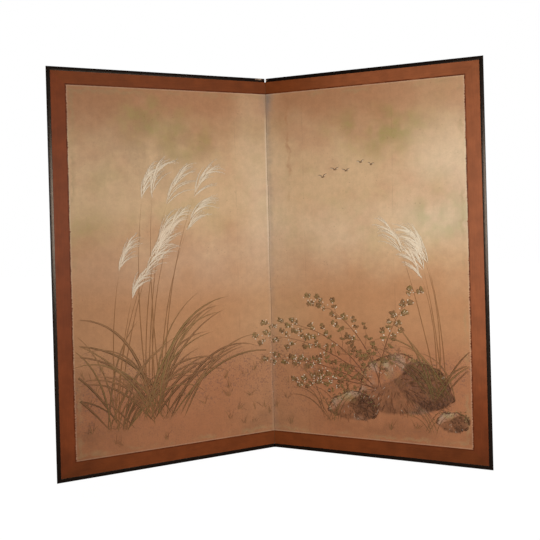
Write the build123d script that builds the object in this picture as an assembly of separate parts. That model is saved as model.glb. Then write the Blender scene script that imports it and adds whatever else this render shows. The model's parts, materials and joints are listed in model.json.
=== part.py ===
from build123d import *
from math import cos, radians, sin
import os

# Two-panel byobu folding screen, standing half open. Millimetres, +Z up.
# The painted faces look towards -Y, and the fold is the part furthest back.
# Origin: middle of the bounding box in plan, on the floor.

# Overall sizes
overall_height = 1700.0
panel_width = 945.0  # fold line to the outer face of the lacquered stile
open_angle = 141.0  # between the two painted faces

# Lacquered frame: a rail above and below each panel and a stile on its outer side
frame_face = 16.5  # width of the members seen from the front
frame_proud = 1.0  # how far the frame stands in front of the silk and behind the back paper
frame_crown = 0.5  # how far the middle of a member's front and back stands out from its edges
frame_outer_round = 2.5
frame_inner_round = 0.7
rail_end_setback = 2.4  # fold line to the end of a rail
rail_corner_round = 5.5
rail_edge_round = 1.5
mitre_key_side = 9.0
mitre_key_thickness = 3.0
pin_section = 3.0
pin_in_core = 9.0
pin_in_frame = 9.0
stile_pins = 5
rail_pins = 4

# Cedar core: a frame and a lattice of laths, cross-halved and woven
core_depth = 15.0
core_member = 24.0
corner_tenon_length = 16.0
corner_tenon_height = 14.0
lath_width = 12.0
lath_tenon = 8.0
upright_laths = 6
level_laths = 11
corner_board_thickness = 6.0

# Paper and silk
underpaper = 0.9  # the built-up layers pasted on each side of the core
silk = 0.6
back_sheet = 0.6
painting_sheet = 0.9
edge_paper = 0.3
border_outer = 60.0
border_top = 54.0
border_bottom = 59.0

# Paper hinge: strips that run alternately from the front of one panel to the back of the other
hinge_strips = 7
hinge_paper = 0.3
flap_width = 42.0
strip_spacing = 0.6  # between one strip and the next up the fold
fold_gap = 1.8  # between the papered edges of the panels when the screen is flat
running_clearance = 0.3  # between pieces that move past each other

# A panel's own frame: X from the fold line outwards, Y = 0 at the frame's front face, Z = 0 at the floor.
tenon_thickness = core_depth / 3
silk_front = frame_proud
underpaper_front = silk_front + silk
core_front = underpaper_front + underpaper
core_back = core_front + core_depth
back_sheet_front = core_back + underpaper
frame_depth = back_sheet_front + back_sheet + frame_proud
core_middle = (core_front + core_back) / 2

sheet_start = fold_gap / 2
core_start = sheet_start + edge_paper
core_end = panel_width - frame_face
core_bottom = frame_face
core_top = overall_height - frame_face
core_height = core_top - core_bottom

# The panels turn on two lines, just clear of the frame's front face and of its back face.
front_fold_y = -running_clearance / 2
back_fold_y = frame_depth + running_clearance / 2
panel_turn = (180.0 - open_angle) / 2


def block(x, y, z):
    """A box given by its low and high limits along each axis."""
    size = (x[1] - x[0], y[1] - y[0], z[1] - z[0])
    return Pos(x[0], y[0], z[0]) * Box(*size, align=(Align.MIN, Align.MIN, Align.MIN))


def slab(outline, y_front, y_back):
    """An outline of X, Z points, as thick as from y_front to y_back."""
    face = Plane.XZ.offset(-y_back) * make_face(Polyline(*outline, close=True))
    return extrude(face, amount=y_back - y_front)


def spread(start, end, count):
    """Middles of count members that part the run from start to end evenly."""
    step = (end - start) / (count + 1)
    return [start + step * (i + 1) for i in range(count)]


# Core frame: the rails are tenoned into the stiles.


def corner_tenon(x, z):
    """One corner's tenon, which starts at x and runs along X, at the rail whose middle is at z."""
    return block(
        x,
        (core_middle - tenon_thickness / 2, core_middle + tenon_thickness / 2),
        (z - corner_tenon_height / 2, z + corner_tenon_height / 2),
    )


rail_start = core_start + core_member
rail_end = core_end - core_member
rail_middles = (core_bottom + core_member / 2, core_top - core_member / 2)


def core_rail(z_middle):
    rail = block(
        (rail_start, rail_end),
        (core_front, core_back),
        (z_middle - core_member / 2, z_middle + core_member / 2),
    )
    rail += corner_tenon((rail_start - corner_tenon_length, rail_start), z_middle)
    rail += corner_tenon((rail_end, rail_end + corner_tenon_length), z_middle)
    return rail


def core_stile(x_start, mortise):
    stile = block((x_start, x_start + core_member), (core_front, core_back), (core_bottom, core_top))
    for z_middle in rail_middles:
        stile -= corner_tenon(mortise, z_middle)
    return stile


# Lattice: each crossing is halved, and the lath that passes in front changes from one crossing to the next.
upright_middles = spread(rail_start, rail_end, upright_laths)
level_middles = spread(core_bottom + core_member, core_top - core_member, level_laths)


def crossing(i, j, upright):
    """The half of crossing i, j that is cut out of its upright or its level lath."""
    front_half = ((i + j) % 2 == 0) == upright
    y = (core_front, core_middle) if front_half else (core_middle, core_back)
    x, z = upright_middles[i], level_middles[j]
    return block(
        (x - lath_width / 2, x + lath_width / 2),
        y,
        (z - lath_width / 2, z + lath_width / 2),
    )


def upright_tenons(x):
    ends = ((core_bottom + core_member - lath_tenon, core_bottom + core_member),
            (core_top - core_member, core_top - core_member + lath_tenon))
    y = (core_middle - tenon_thickness / 2, core_middle + tenon_thickness / 2)
    return [block((x - lath_width / 2, x + lath_width / 2), y, end) for end in ends]


def level_tenons(z):
    ends = ((rail_start - lath_tenon, rail_start), (rail_end, rail_end + lath_tenon))
    y = (core_middle - tenon_thickness / 2, core_middle + tenon_thickness / 2)
    return [block(end, y, (z - lath_width / 2, z + lath_width / 2)) for end in ends]


def upright_lath(i):
    x = upright_middles[i]
    lath = block(
        (x - lath_width / 2, x + lath_width / 2),
        (core_front, core_back),
        (core_bottom + core_member, core_top - core_member),
    )
    lath -= [crossing(i, j, True) for j in range(level_laths)]
    return lath + upright_tenons(x)


def level_lath(j):
    z = level_middles[j]
    lath = block(
        (rail_start, rail_end),
        (core_front, core_back),
        (z - lath_width / 2, z + lath_width / 2),
    )
    lath -= [crossing(i, j, False) for i in range(upright_laths)]
    return lath + level_tenons(z)


def corner_boards():
    """The boards that fill the lattice's four corner cells and keep the panel square."""
    x_cells = (
        (rail_start, upright_middles[0] - lath_width / 2),
        (upright_middles[-1] + lath_width / 2, rail_end),
    )
    z_cells = (
        (core_bottom + core_member, level_middles[0] - lath_width / 2),
        (level_middles[-1] + lath_width / 2, core_top - core_member),
    )
    y = (core_middle - corner_board_thickness / 2, core_middle + corner_board_thickness / 2)
    return [block(x, y, z) for x in x_cells for z in z_cells]


# Lacquered frame


def frame_profile(length):
    """A bar along X with the members' crowned section: inner face at Z = 0, outer face at Z = frame_face."""
    front, back = frame_crown, frame_depth - frame_crown
    outline = ThreePointArc((front, 0), (0, frame_face / 2), (front, frame_face))
    outline += Line((front, frame_face), (back, frame_face))
    outline += ThreePointArc((back, frame_face), (frame_depth, frame_face / 2), (back, 0))
    outline += Line((back, 0), (front, 0))
    bar = extrude(Plane.YZ * make_face(outline), amount=length)
    long_edges = bar.edges().filter_by(Axis.X).group_by(Axis.Z)
    bar = fillet(long_edges[-1], frame_outer_round)
    inner_edges = bar.edges().filter_by(Axis.X).group_by(Axis.Z)[0]
    return fillet(inner_edges, frame_inner_round)


def top_rail():
    """Mitred at the outer end. The end at the fold is square, with its corners eased."""
    length = panel_width - rail_end_setback
    bar = frame_profile(length)
    mitre = Polyline((length, 0), (length, frame_face), (length - frame_face, 0), close=True)
    bar -= extrude(Plane.XZ * make_face(mitre), amount=-frame_depth)
    face = Pos(length / 2, frame_face / 2) * Rectangle(length, frame_face)
    face = fillet(face.vertices().group_by(Axis.X)[0].sort_by(Axis.Y)[-1], rail_corner_round)
    plan = Pos(length / 2, frame_depth / 2) * Rectangle(length, frame_depth)
    plan = fillet(plan.vertices().group_by(Axis.X)[0], rail_edge_round)
    bar &= extrude(Plane.XZ * face, amount=-frame_depth)
    bar &= extrude(plan, amount=frame_face)
    return Pos(rail_end_setback, 0, core_top) * bar


def bottom_rail():
    return mirror(top_rail(), about=Plane.XY.offset(overall_height / 2))


def outer_stile():
    """Mitred at both ends."""
    bar = frame_profile(overall_height)
    for end, inner in ((0, frame_face), (overall_height, overall_height - frame_face)):
        mitre = Polyline((end, 0), (inner, 0), (end, frame_face), close=True)
        bar -= extrude(Plane.XZ * make_face(mitre), amount=-frame_depth)
    return Pos(core_end, 0, overall_height) * Rot(0, 90, 0) * bar


def mitre_keys():
    """A square key across each mitre, hidden inside the two members."""
    size = (mitre_key_side, mitre_key_thickness, mitre_key_side)
    x = core_end + frame_face / 2
    heights = (frame_face / 2, overall_height - frame_face / 2)
    return [Pos(x, frame_depth / 2, z) * Rot(0, 45, 0) * Box(*size) for z in heights]


def frame_pins():
    """Square pins, half in the core and half in the frame: up the stile, then along both rails."""
    pins = []
    x_limits = (core_end - pin_in_core, core_end + pin_in_frame)
    y_limits = (core_middle - pin_section / 2, core_middle + pin_section / 2)
    for z in spread(core_bottom, core_top, stile_pins):
        pins.append(block(x_limits, y_limits, (z - pin_section / 2, z + pin_section / 2)))
    for x in spread(core_start, core_end, rail_pins):
        across = (x - pin_section / 2, x + pin_section / 2)
        pins.append(block(across, y_limits, (core_bottom - pin_in_frame, core_bottom + pin_in_core)))
        pins.append(block(across, y_limits, (core_top - pin_in_core, core_top + pin_in_frame)))
    return pins


# Paper hinge. Strips are numbered up the fold. The even ones go from the front of the left panel to the
# back of the right one, and the odd ones from the front of the right panel to the back of the left one.
strip_pitch = core_height / hinge_strips


def strip_heights(odd):
    """Low and high limits of each even or odd strip."""
    starts = [core_bottom + strip_pitch * n for n in range(odd, hinge_strips, 2)]
    return [(z + strip_spacing / 2, z + strip_pitch - strip_spacing / 2) for z in starts]


def hinge_flaps(odd, front, reach):
    """Where strips are pasted on a panel's underpaper. Each flap starts at X = reach."""
    y = (underpaper_front, underpaper_front + hinge_paper)
    if not front:
        y = (back_sheet_front - hinge_paper, back_sheet_front)
    return [block((reach, sheet_start + flap_width), y, z) for z in strip_heights(odd)]


def hinge_webs(odd):
    """The free widths of the strips, which stand between the panels' edges."""
    x = (-hinge_paper / 2, hinge_paper / 2)
    y = (silk_front, back_sheet_front + back_sheet)
    return [block(x, y, z) for z in strip_heights(odd)]


# Skins


def border_pieces():
    """Silk above, below and outside the painting, mitred at the outer corners."""
    x_in, x_out = core_end - border_outer, core_end
    z_low, z_high = core_bottom + border_bottom, core_top - border_top
    y = (silk_front, underpaper_front)
    top = ((sheet_start, z_high), (x_in, z_high), (x_out, core_top), (sheet_start, core_top))
    bottom = ((sheet_start, core_bottom), (x_out, core_bottom), (x_in, z_low), (sheet_start, z_low))
    outer = ((x_in, z_low), (x_out, core_bottom), (x_out, core_top), (x_in, z_high))
    return {"border_top": slab(top, *y), "border_bottom": slab(bottom, *y), "border_outer": slab(outer, *y)}


def painting():
    return block(
        (sheet_start, core_end - border_outer),
        (underpaper_front - painting_sheet, underpaper_front),
        (core_bottom + border_bottom, core_top - border_top),
    )


def panel(odd_in_front, back_reach):
    """Every piece of one panel in its own frame, by name.

    odd_in_front is 1 where the odd hinge strips are pasted on its front, else 0.
    """
    flap_reach = hinge_paper / 2 + running_clearance
    flaps_front = hinge_flaps(odd_in_front, True, flap_reach)
    flaps_back = hinge_flaps(1 - odd_in_front, False, back_reach)
    uprights = [upright_lath(i) for i in range(upright_laths)]
    levels = [level_lath(j) for j in range(level_laths)]
    sheet_x, sheet_z = (sheet_start, core_end), (core_bottom, core_top)
    edge_y = (core_front, core_back)
    pins = frame_pins()
    keys = mitre_keys()
    upright_mortises = [tenon for x in upright_middles for tenon in upright_tenons(x)]
    level_mortises = [tenon for z in level_middles for tenon in level_tenons(z)]
    fold_mortise = (rail_start - corner_tenon_length, rail_start)
    outer_mortise = (rail_end, rail_end + corner_tenon_length)
    pieces = {
        "core_stile_fold": core_stile(core_start, fold_mortise) - level_mortises,
        "core_stile_outer": core_stile(rail_end, outer_mortise) - level_mortises - pins,
        "core_rail_bottom": core_rail(rail_middles[0]) - upright_mortises - pins,
        "core_rail_top": core_rail(rail_middles[1]) - upright_mortises - pins,
        "laths_upright": uprights,
        "laths_level": levels,
        "corner_boards": corner_boards(),
        "underpaper_front": block(sheet_x, (underpaper_front, core_front), sheet_z) - flaps_front,
        "underpaper_back": block(sheet_x, (core_back, back_sheet_front), sheet_z) - flaps_back,
        "edge_paper": block((sheet_start, core_start), edge_y, sheet_z),
        "painting": painting(),
        "back_sheet": block(sheet_x, (back_sheet_front, back_sheet_front + back_sheet), sheet_z),
        "frame_rail_top": top_rail() - keys - pins,
        "frame_rail_bottom": bottom_rail() - keys - pins,
        "frame_stile": outer_stile() - keys - pins,
        "frame_keys": keys,
        "frame_pins": pins,
        "hinge_flaps_front": flaps_front,
        "hinge_flaps_back": flaps_back,
    }
    return pieces | border_pieces()


def turned(solid):
    """Turns a solid from a panel's own frame about the front fold line, which becomes X = Y = 0."""
    return Rot(0, 0, -panel_turn) * Pos(0, -front_fold_y, 0) * solid


def listed(piece):
    return piece if isinstance(piece, list) else [piece]


# The odd strips' back flaps on the left panel stop at its edge: that pivot is the open one.
right = panel(1, hinge_paper / 2 + running_clearance)
left = panel(0, sheet_start)
nodes = {}
for name, piece in right.items():
    nodes["right_" + name] = [turned(solid) for solid in listed(piece)]
for name, piece in left.items():
    nodes["left_" + name] = [mirror(turned(solid), about=Plane.YZ) for solid in listed(piece)]
nodes["hinge_webs_even"] = [turned(solid) for solid in hinge_webs(0)]
nodes["hinge_webs_odd"] = [mirror(turned(solid), about=Plane.YZ) for solid in hinge_webs(1)]

# In depth the screen is centred on its bounding box, from the stiles' front to the hinge's back.
whole = Compound([solid for solids in nodes.values() for solid in solids])
plan_middle = whole.bounding_box().center().Y

os.makedirs("parts", exist_ok=True)
for name, solids in nodes.items():
    placed = [Pos(0, -plan_middle, 0) * solid for solid in solids]
    export_step(Compound(placed), "parts/" + name + ".step")

span = back_fold_y - front_fold_y
back_fold = (span * sin(radians(panel_turn)), span * cos(radians(panel_turn)) - plan_middle)
base_x, base_y = panel_width / 2, frame_depth / 2 - front_fold_y
base = (
    base_x * cos(radians(panel_turn)) + base_y * sin(radians(panel_turn)),
    -base_x * sin(radians(panel_turn)) + base_y * cos(radians(panel_turn)) - plan_middle,
)
print("front fold line at X, Y:", 0.0, round(-plan_middle, 4))
print("right panel's back fold line at X, Y:", *(round(v, 4) for v in back_fold))
print("middle of the right panel's foot at X, Y:", *(round(v, 4) for v in base))
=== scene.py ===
import json
import math
from functools import partial

import bmesh
import bpy
import numpy as np
from bpy.props import FloatProperty, FloatVectorProperty, IntProperty, PointerProperty
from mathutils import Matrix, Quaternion, Vector


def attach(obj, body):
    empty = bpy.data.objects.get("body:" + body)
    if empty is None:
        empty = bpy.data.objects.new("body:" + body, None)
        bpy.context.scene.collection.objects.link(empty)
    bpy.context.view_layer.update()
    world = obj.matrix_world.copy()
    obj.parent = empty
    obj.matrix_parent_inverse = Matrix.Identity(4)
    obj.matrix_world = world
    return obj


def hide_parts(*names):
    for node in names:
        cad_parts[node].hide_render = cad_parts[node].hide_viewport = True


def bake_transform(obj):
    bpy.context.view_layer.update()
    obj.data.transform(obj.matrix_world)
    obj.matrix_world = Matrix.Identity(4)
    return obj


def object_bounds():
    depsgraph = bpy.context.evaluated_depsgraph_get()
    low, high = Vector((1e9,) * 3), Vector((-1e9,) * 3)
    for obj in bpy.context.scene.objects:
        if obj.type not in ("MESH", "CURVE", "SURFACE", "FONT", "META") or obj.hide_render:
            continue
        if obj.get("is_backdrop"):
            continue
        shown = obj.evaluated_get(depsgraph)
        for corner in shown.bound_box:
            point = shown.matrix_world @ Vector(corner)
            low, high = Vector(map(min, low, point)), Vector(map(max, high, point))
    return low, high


bl_info = {
    "name": "Byobu Folding Screen",
    "version": (1, 0, 0),
    "blender": (4, 5, 0),
    "location": "View3D > Sidebar > Byobu",
    "description": "Lacquer, silk borders, paintings and backing paper for a two-panel folding screen",
    "category": "Object",
}

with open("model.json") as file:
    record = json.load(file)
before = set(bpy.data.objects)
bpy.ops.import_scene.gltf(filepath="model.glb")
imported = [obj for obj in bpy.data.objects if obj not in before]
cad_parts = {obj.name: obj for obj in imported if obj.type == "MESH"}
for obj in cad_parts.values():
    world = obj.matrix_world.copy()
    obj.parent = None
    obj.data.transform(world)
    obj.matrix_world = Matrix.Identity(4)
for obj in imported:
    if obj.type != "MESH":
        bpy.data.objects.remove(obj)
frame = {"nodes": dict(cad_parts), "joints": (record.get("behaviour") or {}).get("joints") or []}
cad_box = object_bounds()
fold_joint = next(j for j in frame["joints"] if j["name"] == "front_fold")
fold_line = Vector(fold_joint["pos_m"])
# The front fold closes face to face, so its range is the angle between the painted faces.
panel_turn = math.radians(180 - fold_joint["range_deg"][1]) / 2
SIDES = {"left": -1, "right": 1}
SHARP_ANGLE = math.radians(40)
# The painted sheet is cut a little lower than its solid, so that the level borders show their full width.
TRIM = 0.002
# How far a sheet's underside stays clear of the paper that it is pasted on.
PASTE_GAP = 0.00002


def linear(code):
    """Linear RGBA of an sRGB hex colour."""
    parts = [int(code[i : i + 2], 16) / 255 for i in (1, 3, 5)]
    return tuple(c / 12.92 if c <= 0.04045 else ((c + 0.055) / 1.055) ** 2.4 for c in parts) + (1.0,)


# A panel's own frame: x from the fold line outwards, y from the fold line's plane backwards, z up.


def from_panel(x, y, z, side):
    """World points of a panel's own points. x may carry the picture plane's sign or not."""
    x = np.abs(x)
    turned_x = x * math.cos(panel_turn) + y * math.sin(panel_turn)
    turned_y = y * math.cos(panel_turn) - x * math.sin(panel_turn)
    return np.stack([turned_x * side, turned_y + fold_line.y, z], axis=-1)


def panel_box(node):
    """Lowest and highest corner of a CAD node in its panel's own frame."""
    points = np.array([v.co for v in frame["nodes"][node].data.vertices])
    x, y = np.abs(points[:, 0]), points[:, 1] - fold_line.y
    out = x * math.cos(panel_turn) - y * math.sin(panel_turn)
    back = x * math.sin(panel_turn) + y * math.cos(panel_turn)
    turned = np.stack([out, back, points[:, 2]], axis=-1)
    return turned.min(0), turned.max(0)


painting_low, painting_high = panel_box("right_painting")
painting_low[2] += TRIM
painting_high[2] -= TRIM
border_low, border_high = panel_box("right_border_outer")
back_low, back_high = panel_box("right_back_sheet")


def colour(name, code, description):
    """A colour setting, from an sRGB hex colour."""
    kind = {"subtype": "COLOR", "size": 4, "min": 0, "max": 1}
    return FloatVectorProperty(name=name, description=description, default=linear(code), **kind)


def length(name, value, description):
    """A setting in metres."""
    kind = {"unit": "LENGTH", "subtype": "DISTANCE", "min": 0, "precision": 5}
    return FloatProperty(name=name, description=description, default=value, **kind)


class ByobuSizes(bpy.types.PropertyGroup):
    """Sizes of the paper and silk work."""

    grid: length("Sheet Grid", 0.006, "Spacing of the points of the painted sheets")
    overlap: length("Overlap", 0.005, "How far the borders run under the painting")
    mitre_lap: length("Mitre Lap", 0.001, "How far the level borders run under the upright ones")
    rim: length("Rim Thickness", 0.0003, "Thickness of the painting where it lies on the borders")
    deckle_pitch: length("Deckle Pitch", 0.0108, "Spacing of the notches in the painting's outer edge")
    deckle_depth: length("Deckle Depth", 0.0050, "Depth of those notches")
    cockle: length("Cockle", 0.00022, "Height of the slow waves in the pasted silk")
    cockle_span: length("Cockle Span", 0.17, "Width of those waves")
    paint_ridge: length("Paint Ridge", 0.00012, "Height of a brush stroke over the silk")
    seed: IntProperty(name="Seed", description="Seed of the brushwork", default=11, min=0)


class ByobuColours(bpy.types.PropertyGroup):
    """Colours of the finishes."""

    lacquer: colour("Lacquer", "#110a07", "Black lacquer, warm where it is thin")
    glint: colour("Lacquer Glint", "#f2dcc9", "Tint of the lacquer's reflections")
    lacquer_rub: colour("Rubbed Lacquer", "#3a2417", "Lacquer rubbed through to its brown undercoat")
    priming: colour("Priming", "#b4a08c", "Clay and wood that show in a chip")
    silk_upright: colour("Upright Silk", "#793b1c", "Outer border silk")
    silk_level: colour("Level Silk", "#763b1a", "Top and bottom border silk")
    # Painted light and sheen: the lighter border silk of the right panel, also the tint of the silk's sheen.
    silk_lit: colour("Faded Silk", "#905231", "Border silk where the light has bleached it")
    silk_shadow: colour("Shaded Silk", "#5a270d", "Border silk in the painting's shadow")
    ground: colour("Ground", "#cbab86", "Aged silk of the painting")
    ground_pink: colour("Pink Ground", "#bd9070", "Redder clouds in the aged silk")
    ground_olive: colour("Olive Ground", "#b8a276", "Yellow green clouds in the aged silk")
    # Partly painted shade: the ochre haze also darkens the lower picture.
    ochre: colour("Ochre Haze", "#b3825b", "Brown haze over the far field")
    smoke: colour("Smoke", "#aa7a57", "Browner silk towards the top")
    earth: colour("Earth Wash", "#a46b49", "Brown wash of the low ground")
    malachite: colour("Pale Green", "#93894f", "Green pigment patches, dulled by age")
    gofun: colour("Shell White", "#f0e6d2", "White shell pigment")
    umber: colour("Umber", "#4c301e", "Dark brown ink")
    lilac: colour("Stain", "#85776f", "Grey stain beside the fold")
    plum: colour("Plum Dust", "#6f5148", "Purplish specks over the low ground")
    backing: colour("Backing Paper", "#6d6a55", "Paper on the back")
    mica: colour("Mica Print", "#8f8a70", "Mica pattern printed on the backing paper")
    mulberry: colour("Mulberry Paper", "#a58e6b", "Pasted underpaper")
    # Partly painted shade: the hinge paper is brown from handling, and dark so that the fold gap reads as
    # shaded.
    hinge: colour("Hinge Paper", "#6b543c", "Hinge strips and edge paper, brown from handling")
    faced: colour("Faced Hinge Paper", "#d8b895", "Hinge strips at the front, tinted like the silk")
    cedar: colour("Cedar", "#a8784e", "Core wood")
    bamboo: colour("Bamboo", "#c2a266", "Pins")


# Kinds of node that are used most, with the mode that each is used in.
PLUS, MINUS, TIMES, TIMES_PLUS = "Math.ADD", "Math.SUBTRACT", "Math.MULTIPLY", "Math.MULTIPLY_ADD"
LEAST, MOST, BELOW, ABSOLUTE = "Math.MINIMUM", "Math.MAXIMUM", "Math.LESS_THAN", "Math.ABSOLUTE"
STEP, LAYER, SCALED = "MapRange.SMOOTHSTEP", "Mix.RGBA", "VectorMath.SCALE"
MODES = {"Math": "operation", "VectorMath": "operation", "MapRange": "interpolation_type", "Mix": "data_type"}


def add(tree, kind, *values, out=None, **settings):
    """Adds a node and returns its first output in use, or the one that out names.

    Values fill the inputs in order. A setting with a capital, such as Base_Color, is an input by its name,
    and the others are the node's own.
    """
    kind, _, mode = kind.partition(".")
    node = tree.nodes.new(kind if "Node" in kind else "ShaderNode" + kind)
    if mode:
        setattr(node, MODES[kind], mode)
    for name in [name for name in settings if name.islower()]:
        setattr(node, name, settings.pop(name))
    sockets = [s for s in node.inputs if s.enabled]
    given = list(zip(sockets, values))
    for name, value in settings.items():
        given.append((next(s for s in sockets if s.name == name.replace("_", " ")), value))
    for socket, value in given:
        if isinstance(value, bpy.types.NodeSocket):
            tree.links.new(value, socket)
        else:
            socket.default_value = tuple(value)[:3] if socket.type == "VECTOR" else value
    return node.outputs[out] if out else next((s for s in node.outputs if s.enabled), None)


def new_material(name):
    """A bare material, and add for its own tree."""
    material = bpy.data.materials.new(name)
    material.use_nodes = True
    material.node_tree.nodes.clear()
    return material, partial(add, material.node_tree)


def finish(put, tone, height, strength, distance, **look):
    """Ends a material with its bump, its shader and its output."""
    bump = put("Bump", Height=height, Strength=strength, Distance=distance)
    put("OutputMaterial", put("BsdfPrincipled", tone, Normal=bump, **look))


def band_scale(pitch):
    """The Wave Texture's scale for bands at a pitch in metres."""
    return 2 * math.pi / 20 / pitch


def smooth(low, high, x):
    """Rises from 0 at low to 1 at high, without corners."""
    t = np.clip((x - low) / (high - low), 0, 1)
    return t * t * (3 - 2 * t)


def cloud(u, v, size, seed, octaves=3):
    """Soft noise from 0 to 1 over the picture plane, with clouds of about the given size."""
    tables = np.random.default_rng(seed).random((octaves, 64, 64))
    total = np.zeros(np.shape(u))
    for octave, table in enumerate(tables):
        x, y = (np.asarray(c) / size * 2**octave + 21.7 * (octave + 1) for c in (u, v))
        i, j = np.floor(x).astype(int), np.floor(y).astype(int)
        s, t = smooth(0, 1, x - i), smooth(0, 1, y - j)
        low = table[i % 64, j % 64] * (1 - s) + table[(i + 1) % 64, j % 64] * s
        high = table[i % 64, (j + 1) % 64] * (1 - s) + table[(i + 1) % 64, (j + 1) % 64] * s
        total += (low * (1 - t) + high * t) * 0.5**octave
    return total / (2 - 0.5 ** (octaves - 1))


def cockle(u, v, sizes):
    """How far the pasted silk stands behind its foremost plane."""
    return sizes.cockle * cloud(u, v, sizes.cockle_span, 5, 2)


def blob(u, v, centre, radius, fade=1.0):
    """A soft-edged patch."""
    d = np.hypot((u - centre[0]) / radius[0], (v - centre[1]) / radius[1])
    return smooth(1 + fade, 0.15, d)


# Painted washes over the picture plane: u runs from the left panel's outer edge, negative, through the
# fold at 0 to the right panel's outer edge, and v is the height above the floor.
STONES = (  # centre, half width and height, and the turn of the outline
    ((0.590, 0.295), (0.205, 0.165), 0.2),
    ((0.372, 0.205), (0.115, 0.080), 1.1),
    ((0.792, 0.175), (0.066, 0.055), 2.3),
)
STONE_SIDES = 7
STONE_APEX = (-0.2, 0.3)


def stone_place(u, v, stone):
    """Place on a stone in units of its half width and height. Below the middle it is squat."""
    (cu, cv), (ru, rv), _ = stone
    x, y = (u - cu) / ru, (v - cv) / rv
    return x, np.where(y < 0, y * 1.6, y)


def stone_reach(u, v, stone):
    """Below 1 inside a stone, whose outline is a polygon with softened corners."""
    x, y = stone_place(u, v, stone)
    bearing, turn = np.arctan2(y, x), stone[2]
    sector = 2 * np.pi / STONE_SIDES
    polygon = np.cos(sector / 2) / np.cos((bearing + turn) % sector - sector / 2)
    outline = 0.35 + 0.65 * polygon + 0.05 * np.cos(3 * bearing + 2 * turn)
    return np.hypot(x, y) / outline + 0.06 * (cloud(u, v, 0.03, 31) - 0.5)


def stone_faces(u, v, stone):
    """Shares of the dark right face and the half-lit front face at each point."""
    x, y = stone_place(u, v, stone)
    around = np.arctan2(y - STONE_APEX[1], x - STONE_APEX[0]) + 0.9 * (cloud(u, v, 0.05, 35) - 0.5)

    def wedge(middle, half):
        low, high = (math.cos(math.radians(a)) for a in (half, half - 14))
        return smooth(low, high, np.cos(around - math.radians(middle)))

    return wedge(-8, 62), wedge(-110, 48)


GREEN_PATCHES = (  # centre, radii and strength
    ((-0.53, 1.50), (0.12, 0.09), 1.0),
    ((-0.36, 1.40), (0.10, 0.08), 0.9),
    ((-0.80, 1.04), (0.08, 0.06), 0.7),
    ((0.52, 1.44), (0.18, 0.07), 1.3),
    ((0.58, 1.33), (0.13, 0.05), 0.6),
    ((0.77, 1.04), (0.12, 0.08), 1.5),
)
PALE_PATCHES = (
    ((-0.2, 0.86), (0.55, 0.10), 0.14),
    ((0.55, 1.02), (0.45, 0.08), 0.14),
    ((0.82, 1.22), (0.17, 0.20), 0.22),
    ((-0.03, 1.16), (0.09, 0.20), 0.17),
    ((-0.06, 1.42), (0.07, 0.12), 0.08),
)
DARK_PATCHES = (
    ((0.58, 0.135), (0.36, 0.040), 0.26),
    ((-0.50, 1.34), (0.18, 0.12), 0.19),
    ((-0.84, 0.30), (0.05, 0.26), 0.20),
    ((-0.80, 0.15), (0.12, 0.06), 0.14),
    ((-0.04, 0.13), (0.11, 0.09), 0.22),
)


def washes(u, v):
    """Earth, green, white and dark washes at each point of the picture plane."""
    shore = 0.47 + 0.05 * np.sin(u * 3.1 + 0.6) + 0.10 * (cloud(u, v, 0.35, 3) - 0.5)
    earth = smooth(shore + 0.12, shore - 0.16, v) * (0.92 + 0.3 * (cloud(u, v, 0.2, 4) - 0.5))
    earth = earth * (1 - 0.35 * blob(u, v, (0.04, 0.30), (0.16, 0.30)))
    green = sum(
        strength * blob(u, v, centre, radii) * smooth(0.2, 0.75, cloud(u, v, 0.06, 8 + i))
        for i, (centre, radii, strength) in enumerate(GREEN_PATCHES)
    )
    white, dark = (
        sum(strength * blob(u, v, centre, radii) for centre, radii, strength in patches)
        for patches in (PALE_PATCHES, DARK_PATCHES)
    )
    white = white * smooth(0.0, 0.7, cloud(u, v, 0.22, 9))
    dark = dark * smooth(0.15, 0.65, cloud(u, v, 0.05, 12))
    texture = cloud(u + 0.35 * v, v * 0.55, 0.03, 33)
    for stone in STONES:
        reach = stone_reach(u, v, stone)
        height = stone_place(u, v, stone)[1]
        inside = smooth(1.04, 0.95, reach)
        right, front = stone_faces(u, v, stone)
        shade = 0.16 + 0.62 * right + 0.30 * front + 0.24 * smooth(-0.1, -1.1, height) + 0.5 * (texture - 0.5)
        dark = dark * (1 - inside) + inside * np.clip(shade, 0.03, 0.95)
        earth = np.maximum(earth, 0.9 * inside)
        lit = inside * (1 - right) * (1 - front) * smooth(0.30, 0.95, reach)
        white = white * (1 - inside) + 0.26 * lit * smooth(0.25, 0.7, texture)
        moss = smooth(0.0, 0.7, height) * smooth(0.5, 0.75, cloud(u, v, 0.04, 37))
        green = green + 0.8 * inside * moss
    return np.stack([np.clip(c, 0, 1) for c in (earth, green, white, dark)], axis=-1)


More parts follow.
